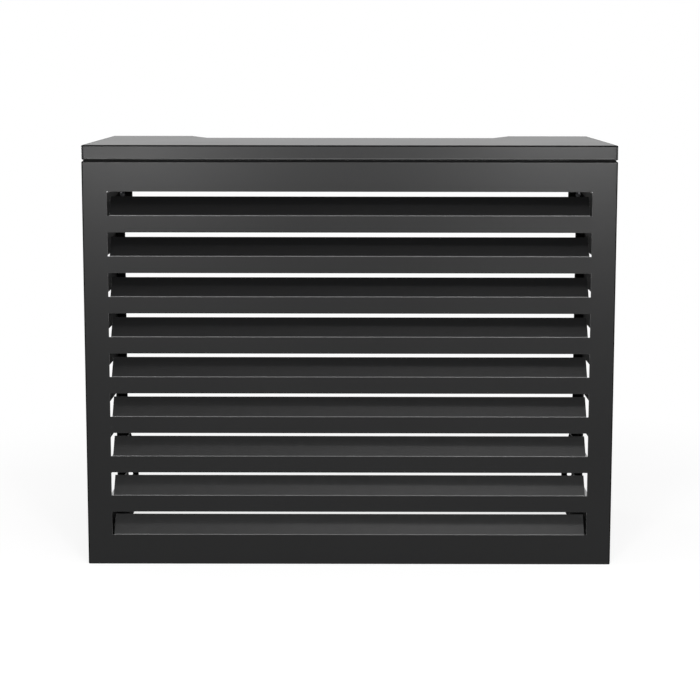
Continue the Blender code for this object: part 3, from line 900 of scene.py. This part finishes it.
corner = same_all_along(turned_twice(seam_y - front_low.y, FRONT_RETURN_REACH))
stiffener = same_all_along(turned_once(FRONT_EDGE_FLANGE))
front_flanges = {"left": corner, "right": corner, "bottom": stiffener, "top": stiffener}
fold_sheet(
    "front_panel",
    louvred_strips(2 * side_x, FRONT_SLOT_MARGIN, front_flanges),
    -ALONG_Y,
    SHEET,
    Matrix.Translation((0, front_low.y, 0)),
    holes_for(nodes_from("panel_bolt"), ALONG_Y, seam_y, SNUG_HOLE_RADIUS),
)

# %% [markdown]
# ## Side panels
# Through the front's slots the picture shows light at the sides, row by row, so the side panels are
# given the same louvres at the same heights, and the rows run round the corner. Their rear flanges
# lie against the wall, and near the ground each one widens into an ear with a slanted top and foot
# and a round hole for a wall screw. A profile that changes with height makes the ear and the plain
# flange in one go.

# %% Side panels
SIDE_SLOT_MARGIN = 0.037
SIDE_FRONT_FLANGE = 0.020
SIDE_REAR_FLANGE = 0.0205
SIDE_TOP_FLANGE = 0.030
SIDE_BOTTOM_FLANGE = 0.038
EAR_FOOT_HEIGHT = 0.012
EAR_RISE = 0.021
EAR_FLAT_HEIGHT = 0.067
EAR_TAPER_HEIGHT = 0.084

rear_y = side_high.y
side_front_y = side_low.y
ear_reach = side_high.x - side_low.x
ear_full_from = EAR_FOOT_HEIGHT + EAR_RISE
ear_full_to = ear_full_from + EAR_FLAT_HEIGHT
ear_turns = (EAR_FOOT_HEIGHT, ear_full_from, ear_full_to, ear_full_to + EAR_TAPER_HEIGHT)


def rear_flange(height):
    """Profile of a side panel's rear flange, which widens into the ear."""
    if height < ear_full_from:
        share = (height - EAR_FOOT_HEIGHT) / EAR_RISE
    else:
        share = 1 - (height - ear_full_to) / EAR_TAPER_HEIGHT
    widening = (ear_reach - SIDE_REAR_FLANGE) * min(max(share, 0), 1)
    return turned_once(SIDE_REAR_FLANGE + widening)


print("ears reach", round(ear_reach, 4), "m in from the sides")

# %% [markdown]
# ## Holes of a side panel
# Bolts go through a side panel's front flange and pins through its top one. The bottom flange has
# two free holes for screws into the ground, and the ear has the hole for the wall. The bracket's
# stud also gets a shallow round pocket in the rear face, so that its head sits flush. The left and
# the right panel are mirror images, so one loop folds them both.

# %% Side panel holes
EAR_HOLE_INSET = 0.0244
EAR_HOLE_HEIGHT = 0.0715
WALL_HOLE_RADIUS = 0.00475
FLOOR_HOLE_RADIUS = 0.003
FLOOR_HOLE_INSET = 0.0325
FLOOR_HOLE_END_MARGIN = 0.0743
STUD_HEAD_RADIUS = 0.0045
STUD_HEAD_THICKNESS = 0.0008


def side_holes(side, label):
    """Holes of one side panel: for its own fasteners, the floor and the wall."""
    pins = [f"lid_pin_front_{label}", f"lid_pin_rear_{label}"]
    floor_x = side * (side_x - FLOOR_HOLE_INSET)
    ear_x = side * (side_x - EAR_HOLE_INSET)
    made = holes_for(nodes_from(f"panel_bolt_{label}"), ALONG_Y, seam_y, SNUG_HOLE_RADIUS)
    made += holes_for(pins, ALONG_Z, body_height, SNUG_HOLE_RADIUS)
    for floor_y in (side_front_y + FLOOR_HOLE_END_MARGIN, rear_y - FLOOR_HOLE_END_MARGIN):
        made.append(hole((floor_x, floor_y, 0), ALONG_Z, FLOOR_HOLE_RADIUS))
    made.append(hole((ear_x, rear_y, EAR_HOLE_HEIGHT), ALONG_Y, WALL_HOLE_RADIUS))
    stud = holes_for([f"bracket_stud_{label}"], ALONG_Y, rear_y, SNUG_HOLE_RADIUS)
    pocket_length = 2 * (STUD_HEAD_THICKNESS + SEAT_GAP)
    pocket = (stud[0][0], ALONG_Y, STUD_HEAD_RADIUS + HOLE_CLEARANCE, pocket_length)
    return made + stud + [pocket]


for side, label in ((-1, "left"), (1, "right")):
    bent_in = same_all_along(turned_once(SIDE_FRONT_FLANGE))
    side_flanges = {
        "left": bent_in if side > 0 else rear_flange,
        "right": rear_flange if side > 0 else bent_in,
        "bottom": same_all_along(turned_once(SIDE_BOTTOM_FLANGE)),
        "top": same_all_along(turned_once(SIDE_TOP_FLANGE)),
    }
    turned_side = Matrix.Rotation(side * math.pi / 2, 4, "Z")
    fold_sheet(
        f"{label}_panel",
        louvred_strips(side_length, SIDE_SLOT_MARGIN, side_flanges, ear_turns),
        -ALONG_Y,
        SHEET,
        Matrix.Translation((side * side_x, side_front_y + side_length / 2, 0)) @ turned_side,
        side_holes(side, label),
    )

# %% [markdown]
# ## Lid outline
# The lid is a pan: a flat top whose edge turns down all round. Seen from above its outline has eight
# corners, because a wide notch is cut into the rear edge. A round corner drawn in by the bend is a
# circle with a smaller radius, and a hollow one a circle with a larger radius, so one function can
# draw every ring of the bend. The slits near the corners, where the turned-in edge starts and ends,
# are extra points on the straight runs.

# %% Lid outline
LID_CORNER_RADIUS = 0.004
LID_CORNER_STEPS = 8
NOTCH_DEPTH = 0.110
NOTCH_REAR_WIDTH = 0.667
NOTCH_FRONT_WIDTH = 0.587

notch_y = rear_y - NOTCH_DEPTH
notch_rear = NOTCH_REAR_WIDTH / 2
notch_front = NOTCH_FRONT_WIDTH / 2
lid_corners = [Vector((-side_x, lid_low.y)), Vector((side_x, lid_low.y)), Vector((side_x, rear_y))]
lid_corners += [Vector((notch_rear, rear_y)), Vector((notch_front, notch_y))]
lid_corners += [Vector((-notch_front, notch_y)), Vector((-notch_rear, rear_y))]
lid_corners.append(Vector((-side_x, rear_y)))
lid_turned_edges = (0, 1, len(lid_corners) - 1)
slit_start = LID_CORNER_RADIUS + CORNER_RELIEF
slit_end = slit_start + CORNER_RELIEF
lid_runs = [after - corner for corner, after in zip(lid_corners, lid_corners[1:] + lid_corners[:1])]


def inward_of(direction):
    """Direction into the lid from an edge that runs anticlockwise."""
    return Vector((-direction.y, direction.x))


def corner_arc(number, inset):
    """Points round one corner of the lid, drawn in by an inset."""
    before = lid_runs[number - 1].normalized()
    after = lid_runs[number].normalized()
    turn = math.atan2(before.cross(after), before.dot(after))
    way = math.copysign(1, turn)
    setback = LID_CORNER_RADIUS * math.tan(abs(turn) / 2)
    centre = lid_corners[number] - before * setback + inward_of(before) * LID_CORNER_RADIUS * way
    reach = inward_of(before) * -way * (LID_CORNER_RADIUS - inset * way)
    turns = [turn * step / LID_CORNER_STEPS for step in range(LID_CORNER_STEPS + 1)]
    return [centre + Matrix.Rotation(angle, 2) @ reach for angle in turns]


def lid_ring(inset, height):
    """Ring of points round the lid, and the numbers of the points that start a turned-in edge."""
    ring = []
    starts = []
    for number, run in enumerate(lid_runs):
        ring += corner_arc(number, inset)
        if number in lid_turned_edges:
            starts.append(len(ring) + 1)
            direction = run.normalized()
            line = lid_corners[number] + inward_of(direction) * inset
            stops = (slit_start, slit_end, run.length - slit_end, run.length - slit_start)
            ring += [line + direction * stop for stop in stops]
    return [Vector((point.x, point.y, height)) for point in ring], starts


print("lid outline has", len(lid_ring(0, 0)[0]), "points")

# %% [markdown]
# ## Lid
# From the flat top the rings go round the bend and down the lip. The darker, glossless coat of the
# bend, painted shade, begins a little before the bend does, so the rings start with a narrow flat band.
# Under three edges the sheet turns in once more, with mitred ends, which stiffens the lid, rests on the
# rubber and takes the pins. Their bends get the paler coat, a painted highlight. Solidify then gives
# all of it one gauge, and nothing has to be modelled twice.

# %% Lid
LID_RETURN_WIDTH = 0.025
# Width of the flat band that takes the painted shade before the bend.
SHADED_BAND = 0.0013
LID_HOLE_CLEARANCE = 0.0006
LID_HOLE_RADIUS = THREAD_RADIUS + LID_HOLE_CLEARANCE


def turned_in(point, after):
    """Strips of the turned-in edge between two points on the rim of the lip, its bend first."""
    direction = (after - point).normalized()
    inward = inward_of(direction).to_3d()
    profile = [(BEND_RADIUS * (1 - cosine), -BEND_RADIUS * sine) for sine, cosine in quarter()]
    profile.append((LID_RETURN_WIDTH, -BEND_RADIUS))
    rails = []
    for inset, drop in profile:
        shift = inward * inset + Vector((0, 0, drop))
        rails.append((point + shift + direction * inset, after + shift - direction * inset))
    strips = []
    for (start, end), (next_start, next_end) in zip(rails, rails[1:]):
        strips.append((start, next_start, next_end, end))
    return strips


def lid_strips():
    """Top, bend, lip and turned-in edges of the lid, sorted by coat."""
    rings = [lid_ring(BEND_RADIUS + SHADED_BAND, lid_high.z)[0]]
    for sine, cosine in quarter():
        height = lid_high.z - BEND_RADIUS * (1 - cosine)
        rings.append(lid_ring(BEND_RADIUS * (1 - sine), height)[0])
    rim, starts = lid_ring(0, lid_low.z + BEND_RADIUS)
    rings.append(rim)
    top = tuple(rings[0])
    count = len(rim)
    bend = []
    for upper, lower in zip(rings, rings[1:]):
        for number in range(count):
            after = (number + 1) % count
            bend.append((upper[number], lower[number], lower[after], upper[after]))
    flat = [top] + bend[-count:]
    # The arcs of the turned-in edges get the paler coat: a painted highlight.
    highlit = []
    slits = {start - 1 for start in starts} | {start + 1 for start in starts}
    drop = Vector((0, 0, -BEND_RADIUS))
    for number in range(count):
        point, after = rim[number], rim[(number + 1) % count]
        if number in starts:
            *arc, underside = turned_in(point, after)
            highlit += arc
            flat.append(underside)
        elif number not in slits:
            flat.append((point, point + drop, after + drop, after))
    return {satin_coat: flat, shaded_bend_coat: bend[:-count], highlight_coat: highlit}


lid_pins = nodes_from("lid_pin_front") + nodes_from("lid_pin_rear")
fold_sheet(
    "lid",
    lid_strips(),
    ALONG_Z,
    SHEET,
    Matrix.Identity(4),
    holes_for(lid_pins, ALONG_Z, lid_low.z, LID_HOLE_RADIUS),
)

# %% [markdown]
# ## Wall brackets
# In each upper rear corner the picture shows a dark shape with a dim round spot. It's taken as an
# angle of thicker sheet that ties the top flange to the rear flange. One leg lies against the rear
# flange on a stud and has the hole for a wall screw, the other lies under the top flange, where the
# rear pin clamps it. One bend between two flat legs is all there is to draw.

# %% Wall brackets
BRACKET_GAUGE = 0.002
BRACKET_HOLE_INSET = 0.0285
BRACKET_HOLE_DROP = 0.050


def bracket_strips(low, high):
    """Strips of an angle that fills a box: a leg on the rear face, a foot under the top face."""
    profile = [(high.y, low.z)]
    for sine, cosine in quarter():
        profile.append((high.y - BEND_RADIUS * (1 - cosine), high.z - BEND_RADIUS * (1 - sine)))
    profile.append((low.y, high.z))
    strips = []
    for (near, below), (far, above) in zip(profile, profile[1:]):
        edge = ((low.x, near, below), (high.x, near, below))
        strips.append(edge + ((high.x, far, above), (low.x, far, above)))
    return {satin_coat: strips}


for side, label in ((-1, "left"), (1, "right")):
    low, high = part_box(f"wall_bracket_{label}")
    wall_x = side * (side_x - BRACKET_HOLE_INSET)
    bracket_holes = holes_for([f"bracket_stud_{label}"], ALONG_Y, high.y, SNUG_HOLE_RADIUS)
    bracket_holes += holes_for([f"lid_pin_rear_{label}"], ALONG_Z, high.z, SNUG_HOLE_RADIUS)
    wall_place = (wall_x, high.y, body_height - BRACKET_HOLE_DROP)
    bracket_holes.append(hole(wall_place, ALONG_Y, WALL_HOLE_RADIUS, BRACKET_GAUGE))
    fold_sheet(
        f"wall_bracket_{label}",
        bracket_strips(low, high),
        ALONG_Y,
        BRACKET_GAUGE,
        Matrix.Identity(4),
        bracket_holes,
    )

# %% [markdown]
# ## Turned pieces
# Bolts, nuts, studs and pins are all round about one axis, apart from the hexagons. Each is a skin
# over rings, and a ring is a list of radii and heights, one for each step round the axis. A plain
# ring repeats one pair. A hexagon's ring has a reach that changes with the angle, and its corners lie
# lower because the head is chamfered by a cone. A thread is cut into the rings as a groove whose
# phase turns with the angle: a true helix, without one more modifier.

# %% Rings
AROUND = 36
HEX_FLATS = 0.010
CHAMFER_RADIUS = 0.00475
CHAMFER_SLOPE = math.tan(math.radians(30))
THREAD_PITCH = 0.001
THREAD_DEPTH = 0.0005
RINGS_A_TURN = 6

around = [2 * math.pi * step / AROUND for step in range(AROUND)]


def plain_ring(radius, height):
    """Round ring."""
    return [(radius, height)] * AROUND


def hex_ring(height, way):
    """Six-sided ring whose corners are cut back by a cone, upwards or downwards."""
    ring = []
    for angle in around:
        reach = HEX_FLATS / 2 / math.cos(angle % (math.pi / 3) - math.pi / 6)
        ring.append((reach, height - way * (reach - CHAMFER_RADIUS) * CHAMFER_SLOPE))
    return ring


def thread_rings(low, high):
    """Rings of a thread between two heights, running out at both ends."""
    count = math.ceil((high - low) / THREAD_PITCH * RINGS_A_TURN)
    rings = []
    for number in range(count + 1):
        height = low + (high - low) * number / count
        run_out = min(1, (height - low) / THREAD_PITCH, (high - height) / THREAD_PITCH)
        ring = []
        for angle in around:
            phase = (height / THREAD_PITCH - angle / (2 * math.pi)) % 1
            ring.append((THREAD_RADIUS - THREAD_DEPTH * run_out * (1 - abs(2 * phase - 1)), height))
        rings.append(ring)
    return rings


def eased(outline, amount, steps=4):
    """Rings along an outline of (radius, height) whose corners are rounded."""
    points = [Vector(point) for point in outline]
    smooth = [points[0]]
    for before, corner, after in zip(points, points[1:], points[2:]):
        start = corner + (before - corner).normalized() * min(amount, (before - corner).length / 2)
        end = corner + (after - corner).normalized() * min(amount, (after - corner).length / 2)
        for step in range(steps + 1):
            share = step / steps
            smooth.append(start.lerp(corner, share).lerp(corner.lerp(end, share), share))
    smooth.append(points[-1])
    return [plain_ring(*point) for point in smooth]


print("thread groove", THREAD_DEPTH, "m deep")

# %% [markdown]
# ## A skin over the rings
# One function lays a skin over a row of loops that have equally many points. A nut has a bore, so its
# last loop joins its first, and everything else is capped at both ends. Smooth shading stops at
# edges sharper than a set angle, or a hexagon would look like a worn bar of soap.

# %% Skin
SHARP_ANGLE = math.radians(32)


def skinned_mesh(name, loops, material, closed=False):
    """Skin over loops of points, joined end to end for a nut or else capped, with sharp edges kept."""
    skin = bmesh.new()
    rows = [[skin.verts.new(point) for point in loop] for loop in loops]
    pairs = list(zip(rows, rows[1:]))
    if closed:
        pairs.append((rows[-1], rows[0]))
    else:
        skin.faces.new(rows[0])
        skin.faces.new(rows[-1])
    for low, high in pairs:
        for step in range(len(low)):
            after = (step + 1) % len(low)
            skin.faces.new((low[step], low[after], high[after], high[step]))
    bmesh.ops.recalc_face_normals(skin, faces=skin.faces)
    mesh = new_mesh(name, skin)
    mesh.shade_smooth()
    mesh.set_sharp_from_angle(angle=SHARP_ANGLE)
    mesh.materials.append(material)
    return mesh


def turned_mesh(name, rings, closed=False):
    """Skin of black zinc over rings round an axis."""
    loops = []
    for ring in rings:
        loop = []
        for angle, (radius, height) in zip(around, ring):
            loop.append((radius * math.cos(angle), radius * math.sin(angle), height))
        loops.append(loop)
    return skinned_mesh(name, loops, zinc, closed)


print("edges stay sharp above", round(math.degrees(SHARP_ANGLE)), "degrees")

# %% [markdown]
# ## Bolts and nuts
# Eight bolts hold the front panel to the sides, their heads inside the screen and their nuts in the
# hollow of the corner. They are ordinary six millimetre bolts. A fastener's own Z is laid along the
# way that it points, and each is spun by the golden angle from the one before it, since no two bolts
# stop at the same angle, and this needs no random number.

# %% Bolts and nuts
BOLT_LENGTH = 0.014
BOLT_HEAD_HEIGHT = 0.004
NUT_HEIGHT = 0.005
EDGE_BREAK = 0.0005
WASHER_FACE_RADIUS = 0.0046
WASHER_FACE_HEIGHT = 0.0002
DISH_RADIUS = 0.0034
DISH_DEPTH = 0.0002
NUT_BORE_RADIUS = 0.00305
NUT_MOUTH_RADIUS = 0.0034

GOLDEN_ANGLE = math.radians(137.5)
spun = []


def stand_for(node, mesh, up, below):
    """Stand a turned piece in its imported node's place, its own Z along up, spun a little further."""
    low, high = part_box(node)
    seat = (low + high) / 2
    level = min(low.dot(up), high.dot(up)) + below
    spin = Matrix.Rotation(GOLDEN_ANGLE * len(spun), 4, "Z")
    turn = (up.to_track_quat("Z", "Y").to_matrix().to_4x4() @ spin).to_euler()
    spun.append(stand("finished_" + node, mesh, seat + up * (level - seat.dot(up)), turn))
    dress(spun[-1], node)


threaded_end = [plain_ring(THREAD_RADIUS - EDGE_BREAK, -BOLT_LENGTH)]
threaded_end += thread_rings(EDGE_BREAK - BOLT_LENGTH, -THREAD_PITCH)
head = [plain_ring(THREAD_RADIUS, 0), plain_ring(WASHER_FACE_RADIUS, 0)]
head += [plain_ring(WASHER_FACE_RADIUS, WASHER_FACE_HEIGHT), hex_ring(WASHER_FACE_HEIGHT, 0)]
head += [hex_ring(BOLT_HEAD_HEIGHT, 1), plain_ring(CHAMFER_RADIUS, BOLT_HEAD_HEIGHT)]
head += [plain_ring(DISH_RADIUS + DISH_DEPTH, BOLT_HEAD_HEIGHT)]
head += [plain_ring(DISH_RADIUS, BOLT_HEAD_HEIGHT - DISH_DEPTH)]
bolt_mesh = turned_mesh("hex_bolt", threaded_end + head)

mouth_depth = NUT_MOUTH_RADIUS - NUT_BORE_RADIUS
nut_rings = [plain_ring(NUT_BORE_RADIUS, mouth_depth), plain_ring(NUT_MOUTH_RADIUS, 0)]
nut_rings += [plain_ring(CHAMFER_RADIUS, 0), hex_ring(0, -1)]
nut_rings += [hex_ring(NUT_HEIGHT, 1), plain_ring(CHAMFER_RADIUS, NUT_HEIGHT)]
nut_rings += [plain_ring(NUT_MOUTH_RADIUS, NUT_HEIGHT)]
nut_rings += [plain_ring(NUT_BORE_RADIUS, NUT_HEIGHT - mouth_depth)]
nut_mesh = turned_mesh("hex_nut", nut_rings, closed=True)

for node in nodes_from("panel_bolt"):
    stand_for(node, bolt_mesh, ALONG_Y, BOLT_LENGTH)
for node in nodes_from("panel_nut") + nodes_from("bracket_nut"):
    stand_for(node, nut_mesh, -ALONG_Y, 0)
for node in nodes_from("lid_pin_nut"):
    stand_for(node, nut_mesh, -ALONG_Z, 0)
print(len(spun), "bolts and nuts")

# %% [markdown]
# ## Studs and pins
# The bracket's stud is pressed into the rear flange from the wall side, so that its head is flush
# and the screen can stand tight against the wall. The pins have a collar that rests on the flange
# and a long taper that finds its hole in the lid without looking.

# %% Studs and pins
STUD_LENGTH = 0.0125
PIN_COLLAR_RADIUS = 0.005
PIN_COLLAR_HEIGHT = 0.0012
PIN_HEIGHT = 0.014
PIN_TAPER_HEIGHT = 0.004
PIN_TIP_RADIUS = 0.0018
PIN_TAIL_LENGTH = 0.010
FINE_EASE = 0.00015

stud_outline = [(STUD_HEAD_RADIUS - EDGE_BREAK, 0), (STUD_HEAD_RADIUS, 0)]
stud_outline += [(STUD_HEAD_RADIUS, STUD_HEAD_THICKNESS), (THREAD_RADIUS, STUD_HEAD_THICKNESS)]
stud_rings = eased(stud_outline, FINE_EASE)
stud_rings += thread_rings(STUD_HEAD_THICKNESS + FINE_EASE, STUD_LENGTH - EDGE_BREAK)
stud_rings.append(plain_ring(THREAD_RADIUS - EDGE_BREAK, STUD_LENGTH))
stud_mesh = turned_mesh("flush_stud", stud_rings)
for node in nodes_from("bracket_stud"):
    stand_for(node, stud_mesh, -ALONG_Y, 0)

pin_outline = [(THREAD_RADIUS, SEAT_GAP), (PIN_COLLAR_RADIUS, SEAT_GAP)]
pin_outline += [(PIN_COLLAR_RADIUS, PIN_COLLAR_HEIGHT), (THREAD_RADIUS, PIN_COLLAR_HEIGHT)]
pin_outline += [(THREAD_RADIUS, PIN_HEIGHT - PIN_TAPER_HEIGHT), (PIN_TIP_RADIUS, PIN_HEIGHT)]
pin_outline += [(PIN_TIP_RADIUS - EDGE_BREAK, PIN_HEIGHT)]
pin_rings = [plain_ring(THREAD_RADIUS - EDGE_BREAK, -PIN_TAIL_LENGTH)]
pin_rings += thread_rings(EDGE_BREAK - PIN_TAIL_LENGTH, -SHEET)
pin_rings += eased(pin_outline, 2 * FINE_EASE)
pin_mesh = turned_mesh("collared_pin", pin_rings)
for node in lid_pins:
    stand_for(node, pin_mesh, ALONG_Z, PIN_TAIL_LENGTH)
print(len(spun), "fasteners in all")

# %% [markdown]
# ## Rubber strips
# Three rubber strips lie on the top flanges and carry the lid. They are set back from the faces, so
# that the gap under the lid is a dark line without a glimpse of daylight. Rubber strip is extruded
# and cut off square, with sides that swell a little under the load. So its section is drawn once,
# set down again at the far end, and the same skin as before is laid over the two. Blender's own
# extrude tool would do as well, but it doesn't number its faces alike in every run.

# %% Rubber strips
STRIP_SWELL = 0.0006
STRIP_TURNS = 10


def strip_section(width, height):
    """Points round a strip's section, about the middle of its underside."""
    side = []
    for step in range(STRIP_TURNS + 1):
        turn = math.pi * step / STRIP_TURNS
        half = width / 2 - STRIP_SWELL * (1 - math.sin(turn))
        side.append((half, height * (1 - math.cos(turn)) / 2))
    return side + [(-half, rise) for half, rise in reversed(side)]


for node in nodes_from("lid_strip"):
    low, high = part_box(node)
    size = high - low
    lengthways, across = (ALONG_Y, ALONG_X) if size.y > size.x else (ALONG_X, ALONG_Y)
    foot = low + across * size.dot(across) / 2
    section = strip_section(size.dot(across), size.z)
    near = [foot + across * half + ALONG_Z * rise for half, rise in section]
    far = [point + lengthways * size.dot(lengthways) for point in near]
    mesh = skinned_mesh("finished_" + node, [near, far], rubber)
    dress(stand("finished_" + node, mesh, (0, 0, 0)), node)
print(len(nodes_from("lid_strip")), "rubber strips")
